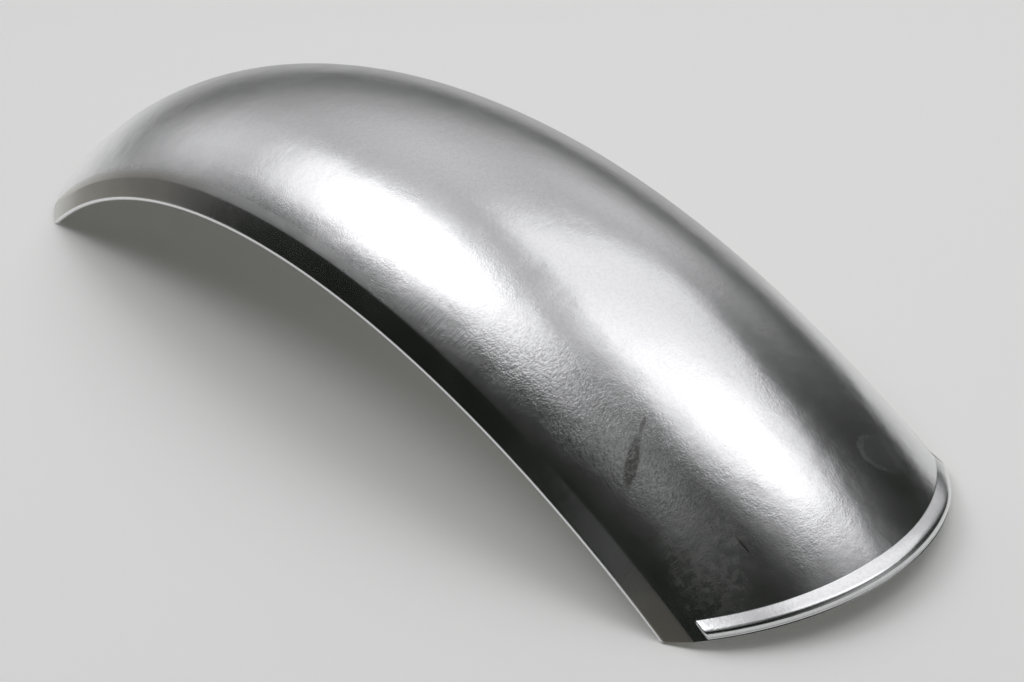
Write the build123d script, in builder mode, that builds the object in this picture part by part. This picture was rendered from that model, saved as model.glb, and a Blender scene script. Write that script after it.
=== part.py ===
"""Motorcycle rear fender: one curved, crowned steel sheet with narrow side margins that are
folded down a little steeper, two flat-trimmed ends and a pressed bead along the rear end.

Frame: +X to the rear along the fender, +Y to its left, +Z up.  The origin is on the ground,
under the middle of the arch, as the fender stands on its four corners.
"""
import os
from math import asin, atan, cos, degrees, radians, sin, sqrt

from build123d import *

os.makedirs("parts", exist_ok=True)

# Driving dimensions, in millimetres and degrees
width = 120.0  # across the rims of the two side margins
sheet = 2.0  # thickness of the steel
margin = 8.7  # strip along each side, from the bottom of the rim to the crease
margin_radius = 150.0  # bow of the margins across their width, so slight that they look flat
margin_slope = 51.0  # slope of the margins at the crease, where they meet the crown
crown_rise = 29.15  # of the top of the crown over the bottom of the rims
rim_radius = 350.0  # from the wheel centre to the bottom of the rounded rims
half_arc = 33.75  # from the top of the arch to the foot of a corner, about the wheel centre
end_rise = 13.6  # the trimmed ends rise from the corners at this angle to the ground
bead_width = 5.6  # of the bead, where it rises from the crown
bead_height = 2.4  # of the bead above the crown, and depth of the groove under it
bead_inset = 3.5  # from the trimmed end to the middle of the bead, along the top of the crown
bead_stop = 6.3  # of crown from the crease to the middle of the bead's rounded end

# Where the wheel centre and the feet of the corners are
wheel_z = -rim_radius * cos(radians(half_arc))
foot_x = rim_radius * sin(radians(half_arc))

# Section across the fender, along the middle of the sheet: distance from the middle plane
# and radius from the wheel centre.  The crown is one arc between the creases.
rim_y = (width - sheet) / 2
rim_r = rim_radius + sheet / 2
margin_run = margin - sheet / 2
margin_out = cos(radians(margin_slope))
margin_drop = sin(radians(margin_slope))
rim_slope = margin_slope + degrees(margin_run / margin_radius)
crease_y = rim_y - margin_radius * (sin(radians(rim_slope)) - sin(radians(margin_slope)))
crease_r = rim_r + margin_radius * (cos(radians(margin_slope)) - cos(radians(rim_slope)))
crown_r = rim_radius + crown_rise - sheet / 2
crown_slope = 2 * degrees(atan((crown_r - crease_r) / crease_y))
crown_radius = crease_y / sin(radians(crown_slope))
crown_centre_r = crown_r - crown_radius

# Each end is trimmed by a plane that leans away from the wheel's radius.  The lean is less
# at the top of the crown, which the plane reaches further round the arch.
foot_lean = 90 - end_rise - half_arc
trim_depth = rim_radius * sin(radians(foot_lean))
crown_lean = degrees(asin(trim_depth / crown_r))
sweep_past = 3.0  # degrees of sheet beyond the trimmed crown, cut away again
sweep_half = half_arc + foot_lean - crown_lean + sweep_past

wheel_axis = Axis((0, 0, wheel_z), (0, 1, 0))
start_plane = Plane(
    origin=(0, 0, wheel_z),
    x_dir=(0, 1, 0),
    z_dir=(cos(radians(sweep_half)), 0, sin(radians(sweep_half))),
)
rear_trim = Plane(origin=(foot_x, 0, 0), z_dir=(-sin(radians(end_rise)), 0, cos(radians(end_rise))))
front_trim = Plane(origin=(-foot_x, 0, 0), z_dir=(sin(radians(end_rise)), 0, cos(radians(end_rise))))
middle_plane = Plane(origin=(0, 0, 0), z_dir=(0, 1, 0))

# The bead is a round rod, sunk in the crown, in a plane parallel to the rear trim.  The plane's
# origin is the point of it nearest to the wheel centre.
bead_depth = trim_depth + bead_inset * cos(radians(crown_lean))
bead_plane = Plane(
    origin=(-bead_depth * sin(radians(end_rise)), 0, wheel_z + bead_depth * cos(radians(end_rise))),
    x_dir=(0, 1, 0),
    z_dir=(sin(radians(end_rise)), 0, -cos(radians(end_rise))),
)
bead_radius = (bead_width**2 / 4 + bead_height**2) / (2 * bead_height)
bead_level = sheet / 2 + bead_height - bead_radius
bead_reach = crown_slope - degrees(bead_stop / crown_radius)


def bead_point(angle, level):
    """Point of the bead plane at this angle round the crown and level from the middle of the sheet."""
    radius = crown_radius + level
    reach = crown_centre_r + radius * cos(radians(angle))
    return (radius * sin(radians(angle)), sqrt(reach**2 - bead_depth**2))


def bead_rod(level, radius):
    """Left half of a round rod with a ball end, laid across the crown at this level."""
    with BuildLine(bead_plane) as line:
        ThreePointArc(bead_point(-bead_reach, level), bead_point(0, level), bead_point(bead_reach, level))
    path = line.edge()
    with BuildPart() as rod:
        with BuildSketch(Plane(origin=path @ 1, z_dir=path % 1)):
            Circle(radius)
        sweep(path=path)
        with Locations(path @ 1):
            Sphere(radius)
        split(bisect_by=middle_plane, keep=Keep.TOP)
    return rod.part


# Outside of the bead's left half: what stands above the middle of the sheet
with BuildPart() as bead:
    add(bead_rod(bead_level, bead_radius))
    with Locations(Plane(origin=(0, 0, wheel_z), z_dir=(0, 1, 0))):
        Torus(crown_centre_r, crown_radius, mode=Mode.SUBTRACT)

# Groove that the pressing leaves in the inner face, under the bead
groove = bead_rod(-sheet / 2, bead_height)

# The fender: the left half of the section is turned about the wheel and beaded, then the
# half is mirrored and both ends are trimmed
with BuildPart() as fender:
    with BuildSketch(start_plane):
        with BuildLine():
            crown = ThreePointArc((-crease_y, crease_r), (0, crown_r), (crease_y, crease_r))
            TangentArc(crown @ 1, (rim_y, rim_r), tangent=(margin_out, -margin_drop))
            TangentArc(crown @ 0, (-rim_y, rim_r), tangent=(-margin_out, -margin_drop))
            offset(amount=sheet / 2, kind=Kind.INTERSECTION)
        make_face()
        split(bisect_by=Plane.YZ, keep=Keep.TOP)
    revolve(axis=wheel_axis, revolution_arc=2 * sweep_half)
    add(bead.part)
    add(groove, mode=Mode.SUBTRACT)
    mirror(about=Plane.XZ)
    split(bisect_by=rear_trim, keep=Keep.TOP)
    split(bisect_by=front_trim, keep=Keep.TOP)

fender.part.label = "fender"
export_step(fender.part, "parts/fender.step")
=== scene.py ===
"""A motorcycle rear fender blank in bare, planished steel, standing on a pale bench.

Metres, in the part's own frame: +X to the rear along the fender, +Y to its left, +Z up.
"""
from math import asin, atan, cos, pi, radians, sin

import bpy
import numpy as np
from mathutils import Matrix, Vector


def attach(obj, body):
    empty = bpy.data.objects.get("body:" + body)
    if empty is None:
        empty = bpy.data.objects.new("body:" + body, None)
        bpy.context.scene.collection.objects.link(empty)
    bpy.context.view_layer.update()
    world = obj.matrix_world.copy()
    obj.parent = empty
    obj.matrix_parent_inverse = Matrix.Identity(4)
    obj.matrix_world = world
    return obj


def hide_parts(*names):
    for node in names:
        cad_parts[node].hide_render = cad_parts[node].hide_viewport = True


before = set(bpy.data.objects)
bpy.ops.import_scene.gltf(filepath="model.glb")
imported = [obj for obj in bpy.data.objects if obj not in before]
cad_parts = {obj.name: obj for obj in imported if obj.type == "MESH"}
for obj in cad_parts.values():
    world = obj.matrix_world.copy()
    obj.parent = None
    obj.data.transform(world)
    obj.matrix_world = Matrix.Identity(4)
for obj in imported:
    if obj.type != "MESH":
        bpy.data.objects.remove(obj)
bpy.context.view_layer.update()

# The fender itself: one piece of 2 mm mild steel sheet, rolled to the wheel's curve and
# crowned, with a narrow margin creased down along each side, rims filed smooth, both ends
# sheared flat and a stiffening bead pressed out along the rear end.  It has no fixings yet.
sheet = 0.002
half_width = 0.060
margin = 0.0087
margin_bow = 0.150
margin_slope = radians(51)
bend_run = 0.0007
crown_rise = 0.02915
rim_radius = 0.350
half_arc = radians(33.75)
end_rise = radians(13.6)
burr = 0.0001

wheel_z = -rim_radius * cos(half_arc)
rim_y = half_width - sheet / 2
rim_r = rim_radius + sheet / 2
margin_run = margin - sheet / 2
rim_slope = margin_slope + margin_run / margin_bow
crease_y = rim_y - margin_bow * (sin(rim_slope) - sin(margin_slope))
crease_r = rim_r + margin_bow * (cos(margin_slope) - cos(rim_slope))
crown_r = rim_radius + crown_rise - sheet / 2
crown_slope = 2 * atan((crown_r - crease_r) / crease_y)
crown_radius = crease_y / sin(crown_slope)
crown_half = crown_radius * crown_slope
sheet_half = crown_half + margin_run
end_turn = pi / 2 - end_rise
trim_depth = rim_radius * sin(end_turn - half_arc)


def spread(start, stop, pitch):
    """Evenly spaced places from start up to, but not with, stop."""
    count = max(1, round((stop - start) / pitch))
    return list(np.linspace(start, stop, count, endpoint=False))


# Places across the half sheet, closer together where the bead ends and at the crease
crown_pitch = 0.0012
crease_pitch = 0.00024
margin_pitch = 0.0006
crease_from = crown_half - 0.0065
crease_to = crown_half + 0.001
across_half = (
    spread(0, crease_from, crown_pitch)
    + spread(crease_from, crease_to, crease_pitch)
    + spread(crease_to, sheet_half, margin_pitch)
    + [sheet_half]
)
across = np.array([-s for s in across_half[:0:-1]] + across_half)


def face_slope(s):
    """Slope of the face at s across the sheet, in the crown, the bend at the crease or a margin."""
    bent = np.clip((s - crown_half) / bend_run + 0.5, 0, 1)
    in_margin = margin_slope + (s - crown_half) / margin_bow
    return s / crown_radius * (1 - bent) + in_margin * bent


fine_count = 6001
fine_s = np.linspace(0, sheet_half, fine_count)
fine_slope = face_slope((fine_s[1:] + fine_s[:-1]) / 2)
fine_y = np.concatenate([[0], np.cumsum(np.cos(fine_slope) * np.diff(fine_s))])
fine_drop = np.concatenate([[0], np.cumsum(np.sin(fine_slope) * np.diff(fine_s))])


def section(s):
    """Middle of the sheet at s across it: its y, its radius and the slope of its face."""
    side = np.sign(s)
    y = np.interp(abs(s), fine_s, fine_y)
    drop = np.interp(abs(s), fine_s, fine_drop)
    return side * y, crown_r - drop, side * face_slope(abs(s))


# Turns of the rim's points from the outer face, and half of the turn that the filed flat takes
rim_turns = np.radians([2, 5, 37, 40, 44, 60, 85, 110, 135, 160])
rim_flat = radians(21)


def rim(side):
    """Rim of one side, round but for a narrow filed flat, from the outer face to the inner."""
    s = np.full(rim_turns.size, side * sheet_half)
    y, r, slope = section(s)
    lean = slope + side * rim_turns
    reach = np.where(rim_turns < 2 * rim_flat, cos(rim_flat) / np.cos(rim_turns - rim_flat), 1.0)
    return s + side * rim_turns * sheet / 2, y, r, reach * np.sin(lean), reach * np.cos(lean)


# The loop round the section: outer face, left rim, inner face and right rim
section_y, section_r, section_slope = section(across)
outer = (across, section_y, section_r, np.sin(section_slope), np.cos(section_slope))
inner = (across[::-1], section_y[::-1], section_r[::-1], -outer[3][::-1], -outer[4][::-1])
left_rim = rim(1)
right_rim = tuple(part[::-1] for part in rim(-1))
loop = [np.concatenate(parts) for parts in zip(outer, left_rim, inner, right_rim)]
loop_s, loop_y, loop_r, out_y, out_r = loop
loop_size = loop_s.size
faces_across = across.size
inner_start = faces_across + rim_turns.size
inner_stop = inner_start + faces_across
loop_number = np.arange(loop_size)
is_outer = loop_number < faces_across
is_inner = (loop_number >= inner_start) & (loop_number < inner_stop)

# Stations along the arch, as depths from the trimmed end and insets of the faces.  Near each
# end they lie in planes parallel to it, and the last few round its edges off.
end_zone = 0.0068
bead_pitch = 0.00016
plain_depths = (0.0008, 0.002, 0.004, end_zone)
burr_steps = 5
arch_steps = 150
rounding = [(burr * (1 - sin(t)), burr * (1 - cos(t))) for t in np.linspace(pi / 2, 0, burr_steps)]
bead_depths = spread(burr, end_zone, bead_pitch)[1:] + [end_zone]
rear_steps = rounding + [(depth, 0) for depth in bead_depths]
front_steps = rounding + [(depth, 0) for depth in plain_depths]


def turn_at(depth, radius):
    """Angle from the top of the arch at which a plane parallel to the rear end meets this radius."""
    return end_turn - np.arcsin((trim_depth + depth) / radius)


def end_stations(steps, toward):
    """Stations of the end towards the rear (1) or front (-1): half the thickness and the angles."""
    made = []
    for depth, inset in steps:
        half = sheet / 2 - inset
        made.append((half, toward * turn_at(depth, loop_r + out_r * half)))
    return made


stations = end_stations(rear_steps, 1)
front_stations = end_stations(front_steps, -1)
rear_turn = stations[-1][1]
front_turn = front_stations[-1][1]
for step in range(1, arch_steps):
    stations.append((sheet / 2, rear_turn + (front_turn - rear_turn) * step / arch_steps))
stations += front_stations[::-1]


def place(y, radius, turn):
    """Points at these distances to the left, radii from the wheel centre and angles round it."""
    return np.stack([radius * np.sin(turn), y, wheel_z + radius * np.cos(turn)], axis=-1)


# The bead, and the round groove that its pressing leaves in the inner face
bead_width = 0.0056
bead_inset = 0.0035
bead_ramp = 0.0044
bead_nose = 0.0020
bead_crest = 0.0021
crest_round = 0.25
right_cut = 0.0557
right_round = 0.0008
left_cut = 0.0640
left_round = 0.003
sink_from = 0.034
sink_run = 0.022
sink_share = 0.6
groove_depth = 0.0024
groove_stop = 0.0063
groove_points = 241


def groove_line():
    """Points along the middle of the groove, in the inner face."""
    reach = crown_slope - groove_stop / crown_radius
    angle = np.linspace(-reach, reach, groove_points)
    level = crown_radius - sheet / 2
    radius = crown_r - crown_radius + level * np.cos(angle)
    plane_depth = trim_depth + bead_inset * cos(asin(trim_depth / crown_r))
    return place(level * np.sin(angle), radius, end_turn - np.arcsin(plane_depth / radius))


def groove(points, line):
    """Depth to which a round rod along the line is sunk in the inner face at these points."""
    gap = np.linalg.norm(points[:, None, :] - line[None, :, :], axis=2).min(axis=1)
    return np.sqrt(np.maximum(groove_depth**2 - gap**2, 0))


def rounded(distance, radius):
    """Goes from 0 to 1 like a quarter circle, as the distance goes from 0 to the radius."""
    return np.sqrt(1 - (1 - np.clip(distance / radius, 0, 1)) ** 2)


def bead(s, radius, depth):
    """Height of the bead at s across the sheet, at a radius and at a depth from the trimmed end.

    A long straight ramp rises from the crown to the crest, and a short round nose falls to the
    end.  The right end is cut square; the left one sinks slowly and runs out on the margin.
    """
    along_face = depth / np.sqrt(1 - (trim_depth / radius) ** 2)
    past_crest = bead_inset - bead_width / 2 + bead_nose - along_face
    before = np.clip(-past_crest / bead_ramp, 0, 1)
    fall = np.sqrt(before**2 + crest_round**2) - crest_round
    fall = fall / (np.sqrt(1 + crest_round**2) - crest_round)
    profile = np.where(past_crest < 0, 1 - fall, rounded(1 - past_crest / bead_nose, 1))
    sunk = np.clip((s - sink_from) / sink_run, 0, 1)
    sunk = sink_share * sunk**2 * (3 - 2 * sunk)
    ends = rounded(s + right_cut, right_round) * rounded(left_cut - s, left_round) * (1 - sunk)
    return bead_crest * ends * profile


inside_line = groove_line()
face_radius = loop_r + out_r * sheet / 2
face_y = loop_y + out_y * sheet / 2
vertices = []
map_along = []
for number, (half, turn) in enumerate(stations):
    lift = np.zeros(loop_size)
    if number < len(rear_steps):
        depth = rear_steps[number][0]
        lift[is_outer] = bead(loop_s[is_outer], face_radius[is_outer], depth)
        lift[is_inner] = -groove(place(face_y, face_radius, turn)[is_inner], inside_line)
    vertices.append(place(loop_y + out_y * (half + lift), loop_r + out_r * (half + lift), turn))
    map_along.append(turn * crown_r)
vertices = np.concatenate(vertices)

# Faces, each with its places in the flat sheet, where the inner face lies off to one side
inner_offset = 0.5
past_rim = 0.0003
faces = []
face_maps = []
loop_map = np.where(is_inner, inner_offset + loop_s, loop_s)
for k in range(len(stations) - 1):
    this = k * loop_size
    following = this + loop_size
    for i in range(loop_size):
        j = (i + 1) % loop_size
        faces.append((this + i, this + j, following + j, following + i))
        map_i = loop_map[i]
        map_j = loop_map[j]
        if is_inner[i] != is_inner[j]:
            map_j = map_i + past_rim if is_inner[j] else map_i
        face_maps.append(((k, i, map_i), (k, j, map_j), (k + 1, j, map_j), (k + 1, i, map_i)))


def opposite(i):
    """Loop place on the inner face, facing place i of the outer face."""
    return inner_stop - 1 - i


left_cap = list(range(faces_across - 1, inner_start + 1))
right_cap = list(range(inner_stop - 1, loop_size)) + [0]
for k, flip in ((0, True), (len(stations) - 1, False)):
    rings = [[i, opposite(i), opposite(i + 1), i + 1] for i in range(faces_across - 1)]
    rings += [left_cap[::-1], right_cap[::-1]]
    for ring in rings:
        ring = ring[::-1] if flip else ring
        faces.append(tuple(k * loop_size + n for n in ring))
        face_maps.append(tuple((k, n, loop_s[n]) for n in ring))

mesh = bpy.data.meshes.new("fender_sheet")
mesh.from_pydata(vertices.tolist(), [], faces)
sheet_map = mesh.uv_layers.new(name="sheet_map")
flat_places = [(map_along[k][i], beside) for face in face_maps for k, i, beside in face]
sheet_map.data.foreach_set("uv", np.array(flat_places).ravel())
mesh.shade_smooth()
fender = bpy.data.objects.new("fender_sheet", mesh)
bpy.context.scene.collection.objects.link(fender)


class Value:
    """A node's output that Python's arithmetic works on; each step adds its Math node."""

    def __init__(self, shader, socket):
        self.shader = shader
        self.socket = socket

    def math(self, operation, *terms):
        return self.shader.node("Math", {"operation": operation}, dict(enumerate(terms)))

    def __add__(self, other):
        return self.math("ADD", self, other)

    def __sub__(self, other):
        return self.math("SUBTRACT", self, other)

    def __rsub__(self, other):
        return self.math("SUBTRACT", other, self)

    def __mul__(self, other):
        return self.math("MULTIPLY", self, other)

    def __abs__(self):
        return self.math("ABSOLUTE", self)

    def larger(self, other):
        return self.math("MAXIMUM", self, other)

    def exp(self):
        return self.math("EXPONENT", self)

    __radd__ = __add__
    __rmul__ = __mul__


class Shader:
    """The node tree of one finish."""

    def __init__(self, tree):
        self.tree = tree
        tree.nodes.clear()

    def node(self, kind, settings={}, sockets={}, output=0):
        """Adds a node, sets it up, then sets or links its sockets, and gives one output."""
        made = self.tree.nodes.new("ShaderNode" + kind)
        for name, setting in settings.items():
            setattr(made, name, setting)
        for name, value in sockets.items():
            if isinstance(value, Value):
                self.tree.links.new(value.socket, made.inputs[name])
            else:
                made.inputs[name].default_value = value
        return Value(self, made.outputs[output]) if made.outputs else made

    def fade(self, value, start, stop):
        """Goes smoothly from 0 to 1 as the value goes from start to stop."""
        span = {"Value": value, "From Min": start, "From Max": stop}
        return self.node("MapRange", {"interpolation_type": "SMOOTHSTEP"}, span)

    def tint(self, colour, other, amount):
        """Colour that goes from the first to the other, by an amount from 0 to 1."""
        return self.node("Mix", {"data_type": "RGBA"}, {0: amount, 6: colour, 7: other}, output=2)


steel = bpy.data.materials.new("planished_steel")
steel.use_nodes = True
finish = Shader(steel.node_tree)
flat_sheet = finish.node("UVMap", {"uv_map": "sheet_map"})
along = finish.node("SeparateXYZ", {}, {0: flat_sheet}, output="X")
beside = finish.node("SeparateXYZ", {}, {0: flat_sheet}, output="Y")
off_middle = abs(beside)


def grain(pitch_along, pitch_across, detail, cut):
    """Noise over the flat sheet, with these pitches along and across it, from its own cut."""
    axes = {"X": along * (1 / pitch_along), "Y": beside * (1 / pitch_across), "Z": cut}
    spot = finish.node("CombineXYZ", {}, axes)
    return finish.node("TexNoise", {}, {"Vector": spot, "Scale": 1.0, "Detail": detail})


def oval(mark, ragged, soft=0.35):
    """Mask of an oval mark on the outer face: its middle along and beside, half its length and
    half its breadth, all in millimetres, and the turn of its length from along to beside."""
    middle_along, middle_beside, half_length, half_breadth, lean = mark
    da = along - middle_along / 1000
    db = beside - middle_beside / 1000
    length = (da * cos(lean) + db * sin(lean)) * (1000 / half_length)
    breadth = (db * cos(lean) - da * sin(lean)) * (1000 / half_breadth)
    return finish.fade(length * length + breadth * breadth + ragged, 1 + soft, 1 - soft)


# Parts of the sheet: its inside, the margins, the line the roller left beside each crease,
# painted shade beside each crease near the front, and on the margins painted shade at the front and
# stains at the rear
inside = finish.fade(beside, 0.1, 0.2)
outside = 1 - inside
strip = finish.fade(off_middle, crown_half - 0.0002, crown_half + 0.0003) * outside
on_crown = (1 - strip) * outside
roller = finish.fade(off_middle, crown_half - 0.0045, crown_half - 0.0030) * on_crown
roller = roller * finish.fade(along, 0.10, 0.02)
# Painted shade: the crown next to each crease is darkened towards the front, so that the crease looks
# softer there
painted_bend_shade = finish.fade(off_middle, crown_half - 0.0060, crown_half) * on_crown
painted_bend_shade = painted_bend_shade * finish.fade(along, -0.02, -0.10)
on_strip = strip * finish.fade(off_middle, sheet_half + 0.0003, sheet_half - 0.0001)
# Painted shade: the front of each margin is darkened and browned, standing in for the darker room it
# reflects there; the rear of each margin carries real brown stains
front_tip = 0.6 * finish.fade(along, -0.17, -0.235)
painted_shade_front = finish.fade(along, 0.01, -0.13) * (1 - front_tip)
toward_rear = finish.fade(along, 0.19, 0.22)
stain_and_shade_on_margins = (painted_shade_front + toward_rear) * on_strip

# Grain of the metal, from the fine pebbling of the surface to the waves of the planishing
pebbles = grain(0.00060, 0.00060, 3.0, 0.5) + 0.5 * grain(0.0013, 0.0013, 1.0, 2.5)
streaks = grain(0.0003, 0.0060, 1.0, 1.5)
hammer = grain(0.0050, 0.0060, 1.0, 3.5)
waves = grain(0.0260, 0.0160, 1.0, 4.5)
rough_edge = 1.2 * (grain(0.0030, 0.0030, 3.0, 5.5) - 0.5)
pit_noise = grain(0.0008, 0.0008, 2.0, 6.5)
clouds = grain(0.0140, 0.0090, 1.0, 7.5)
blots = grain(0.0024, 0.0024, 4.0, 8.5)
speckle = grain(0.0009, 0.0009, 3.0, 9.5)

# Marks of handling and storage near the rear end
mottled = oval((152, -42, 46, 13, 0.12), 1.6 * (clouds - 0.5), 0.8)
long_smear = oval((174.6, -40.0, 8.2, 2.1, -0.89), 1.5 * rough_edge, 0.5)
short_smear = oval((167.9, -30.9, 3.0, 0.7, -1.0), rough_edge)
smear = (long_smear * (0.6 + 0.4 * finish.fade(speckle, 0.35, 0.60))).larger(0.8 * short_smear)
scratch = oval((216.0, -31.2, 3.2, 0.35, 0.04), 0.5 * rough_edge)
thumb_mark = oval((215.5, 27.6, 8.0, 6.6, 0.75), 0.4 * rough_edge)
thumb_middle = oval((216.0, 28.6, 8.0, 6.4, 0.75), 0.4 * rough_edge)
thumb_edge = thumb_mark - thumb_mark * thumb_middle
stains = oval((214, -43, 17, 11, -0.3), 1.2 * rough_edge, 0.9) * finish.fade(blots, 0.30, 0.78)
pits = finish.fade(pit_noise, 0.52, 0.40) * (0.06 + 0.17 * mottled) * outside

# Relief: broad hammer dents, and on them the pebbling and the streaks drawn along the creases
dent_height = 0.000050
pebble_height = 0.000048
crease_line = 0.056
pebbled = 0.32 + 0.45 * finish.fade(clouds, 0.42, 0.62) + 0.75 * mottled
pebbled = pebbled * finish.fade(along, -0.23, -0.15)
streaked = 0.8 * finish.fade(abs(off_middle - crease_line), 0.010, 0.003)
relief = pebbles * pebbled + streaks * streaked
dents = {"Height": hammer + 4.0 * waves, "Strength": 1.0, "Distance": dent_height}
dented = finish.node("Bump", {}, dents)
texture = {"Height": relief, "Strength": 1.0, "Distance": pebble_height, "Normal": dented}
textured = finish.node("Bump", {}, texture)

# Roughness: that of the clean metal, and what each part and mark adds to it
clean_metal = 0.205
dull = (
    clean_metal
    + 0.05 * clouds
    - 0.03 * strip
    + 0.06 * roller
    + 0.18 * inside
    + 0.24 * stain_and_shade_on_margins
    + 0.13 * stains * (0.5 + speckle)
    + 0.03 * thumb_mark
    + 0.07 * thumb_edge
    + 0.06 * smear
)

bright_steel = (0.620, 0.618, 0.634, 1)
stain_and_shade_brown = (0.31, 0.29, 0.25, 1)
# The inside is painted dark, as painted shade under the arch, which also keeps the bench's shadow there
# dark
painted_shade_inside = (0.28, 0.275, 0.26, 1)
dark_grime = (0.16, 0.16, 0.15, 1)
# Brown: real stains, mixed with painted shade on the margins' fronts and beside the creases near the
# front
stains_and_painted_shade = (0.3 * stains).larger(0.9 * stain_and_shade_on_margins + 0.75 * painted_bend_shade)
grimy = (0.9 * smear).larger(0.75 * scratch).larger(pits)
colour = finish.tint(bright_steel, stain_and_shade_brown, stains_and_painted_shade)
colour = finish.tint(colour, painted_shade_inside, inside)
colour = finish.tint(colour, dark_grime, grimy)
metal = {"Base Color": colour, "Metallic": 1.0, "Roughness": dull, "Normal": textured}
surface = finish.node("BsdfPrincipled", {}, metal)
finish.node("OutputMaterial", {}, {"Surface": surface})
mesh.materials.append(steel)

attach(fender, "root")
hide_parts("fender")

# The bench that it stands on: a broad, matt board, painted pale grey.  The board glows a little
# for the camera and, close to the fender, more for the steel that mirrors it, a painted reflection;
# further off the steel mirrors it a little darker, a painted shade in the reflection.  The glow is tinted
# green, which paints a green tint into the bench's shadows.
bench_half = 6.0
board_paint = (0.980, 0.975, 0.985, 1)
board_roughness = 0.7
board_shade = (0.05, 0.05, 0.05, 1)
lift_tint = (0.97, 1.0, 0.92)
camera_lift = 0.06
mirrored_lift = 0.26
mirrored_shade = 0.12

bench_mesh = bpy.data.meshes.new("bench_top")
bench_signs = ((-1, -1), (1, -1), (1, 1), (-1, 1))
bench_corners = [(x * bench_half, y * bench_half, 0) for x, y in bench_signs]
bench_mesh.from_pydata(bench_corners, [], [(0, 1, 2, 3)])
bench = bpy.data.objects.new("bench_top", bench_mesh)
bpy.context.scene.collection.objects.link(bench)

board = bpy.data.materials.new("pale_board")
board.use_nodes = True
paint = Shader(board.node_tree)
board_place = paint.node("TexCoord", output="Object")
from_middle = paint.node("VectorMath", {"operation": "LENGTH"}, {0: board_place}, output="Value")
lengthwise = paint.node("SeparateXYZ", {}, {0: board_place}, output="X")
sideways = paint.node("SeparateXYZ", {}, {0: board_place}, output="Y")
behind = paint.fade(sideways, 0.0, 0.15) * paint.fade(lengthwise, 0.10, -0.05)
far_off = behind.larger(paint.fade(from_middle, 0.45, 1.20))
direct = paint.node("LightPath", output="Is Camera Ray")
mirrored = paint.node("LightPath", output="Is Glossy Ray")
board_lift = camera_lift * direct + mirrored_lift * mirrored * (1 - far_off)
shine = paint.node("VectorMath", {"operation": "SCALE"}, {0: lift_tint, "Scale": board_lift})
coat = {"Base Color": board_paint, "Roughness": board_roughness}
coat["Emission Color"] = shine
coat["Emission Strength"] = 1.0
painted = paint.node("BsdfPrincipled", {}, coat)
shaded = paint.node("BsdfDiffuse", {}, {"Color": board_shade})
board_mix = {0: mirrored_shade * mirrored * far_off, 1: painted, 2: shaded}
paint.node("OutputMaterial", {}, {"Surface": paint.node("MixShader", {}, board_mix)})
bench_mesh.materials.append(board)

# Studio light: two broad soft boxes overhead, lengthwise to the fender, in a dark room with
# a few pale patches, which the steel shows as soft gleams beside the two main ones.
aim = Vector((0, 0, 0.06))


def soft_box(name, centre, yaw, length, width, radiance):
    """A rectangular lamp, its length turned this far from X, that looks from its centre at the fender."""
    lamp = bpy.data.lights.new(name, "AREA")
    lamp.shape = "RECTANGLE"
    lamp.size = length
    lamp.size_y = width
    lamp.energy = radiance * pi * length * width
    holder = bpy.data.objects.new(name, lamp)
    back = (Vector(centre) - aim).normalized()
    side = Vector((cos(yaw), sin(yaw), 0))
    side = (side - side.dot(back) * back).normalized()
    turned = Matrix((side, back.cross(side), back)).transposed().to_4x4()
    holder.matrix_world = Matrix.Translation(centre) @ turned
    bpy.context.scene.collection.objects.link(holder)


soft_box("right_soft_box", (-0.583, -0.313, 1.05), -0.096, 1.322, 0.464, 1.12)
soft_box("left_soft_box", (0.117, 0.479, 1.05), -0.407, 1.084, 0.890, 1.02)

world = bpy.data.worlds.new("studio")
bpy.context.scene.world = world
world.use_nodes = True
room = Shader(world.node_tree)
toward = room.node("TexCoord", output="Generated")


def pale_patch(bearing, height, width, level):
    """Soft patch of brightness in the room, at this bearing from +Y towards +X, height and width
    in degrees."""
    b = radians(bearing)
    h = radians(height)
    way = Vector((sin(b) * cos(h), cos(b) * cos(h), sin(h)))
    facing = room.node("VectorMath", {"operation": "DOT_PRODUCT"}, {0: toward, 1: way}, output="Value")
    return level * ((facing - 1) * (1 / radians(width) ** 2)).exp()


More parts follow.
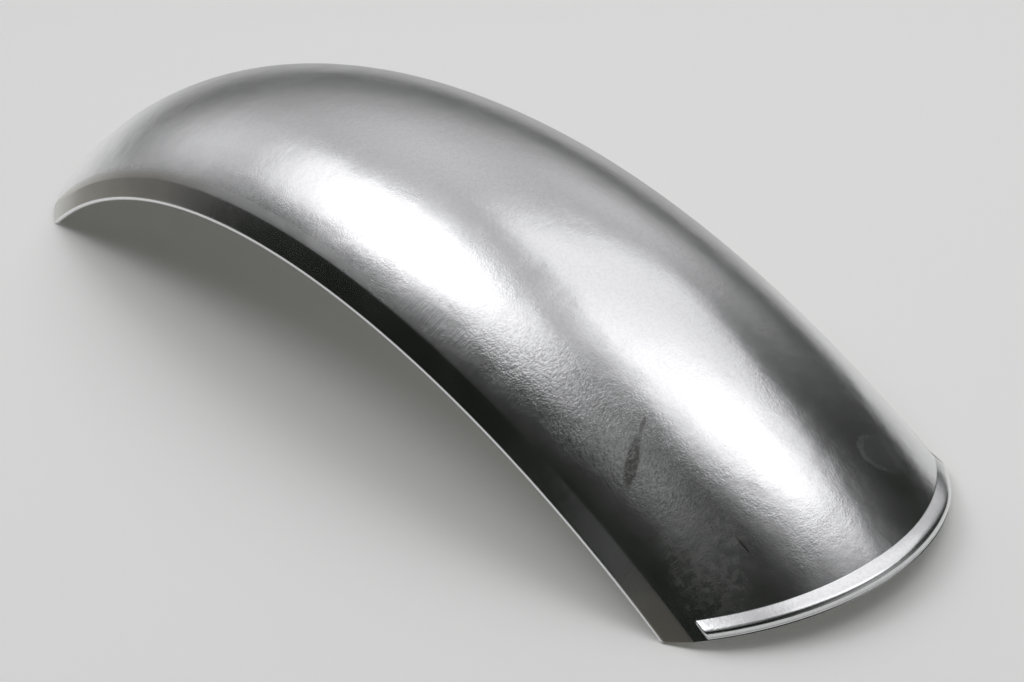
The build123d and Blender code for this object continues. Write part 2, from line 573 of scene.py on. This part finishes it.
# Bearing, height, width and level of each patch
room_patches = (
    (-27.9, 22.8, 9.4, 0.62),
    (-51.8, 84.8, 6.8, 1.05),
    (-92.0, 17.0, 9.0, 0.85),
    (-119.0, 46.0, 7.0, 1.00),
    (-107.8, 58.1, 8.3, 1.85),
    (-60.1, 40.2, 18.4, 0.83),
    (164.6, 64.4, 6.0, 0.46),
    (36.8, 65.0, 9.3, 1.50),
    (180.0, 20.0, 5.5, 0.17),
    (75.0, 15.0, 16.0, 0.45),
    (52.0, 28.0, 12.0, 0.28),
)
white = (1.0, 1.0, 1.0)
backdrop_level = 0.62
gloom_tint = (0.70, 1.00, 0.60)
gloom_level = 0.009
seen = room.node("LightPath", output="Is Camera Ray")
unseen = 1 - seen
room_level = sum(pale_patch(*patch) for patch in room_patches) * unseen + backdrop_level * seen
pale = room.node("VectorMath", {"operation": "SCALE"}, {0: white, "Scale": room_level})
gloom = room.node("VectorMath", {"operation": "SCALE"}, {0: gloom_tint, "Scale": gloom_level * unseen})
both = room.node("VectorMath", {"operation": "ADD"}, {0: pale, 1: gloom})
glow = room.node("Background", {}, {"Color": both, "Strength": 1.0})
room.node("OutputWorld", {}, {"Surface": glow})

# The camera stands to the right of the rear end and looks down at the fender.  Its place and
# the directions of its frame are those that fit the photograph's outlines.
film_width = 36.0
focal_pixels = 1955.9
photo_width = 1024
camera_place = (0.53906, -0.32931, 0.38534)
camera_right = Vector((0.61789, 0.77687, -0.12119))
camera_up = Vector((-0.35666, 0.41430, 0.83735))
camera_ahead = Vector((-0.70072, 0.47416, -0.53307))

lens = bpy.data.cameras.new("camera")
lens.sensor_width = film_width
lens.lens = focal_pixels * film_width / photo_width
camera = bpy.data.objects.new("camera", lens)
camera_turn = Matrix((camera_right, camera_up, -camera_ahead)).transposed().to_4x4()
camera.matrix_world = Matrix.Translation(camera_place) @ camera_turn
bpy.context.scene.collection.objects.link(camera)
bpy.context.scene.camera = camera
bpy.context.scene.view_settings.view_transform = "Standard"
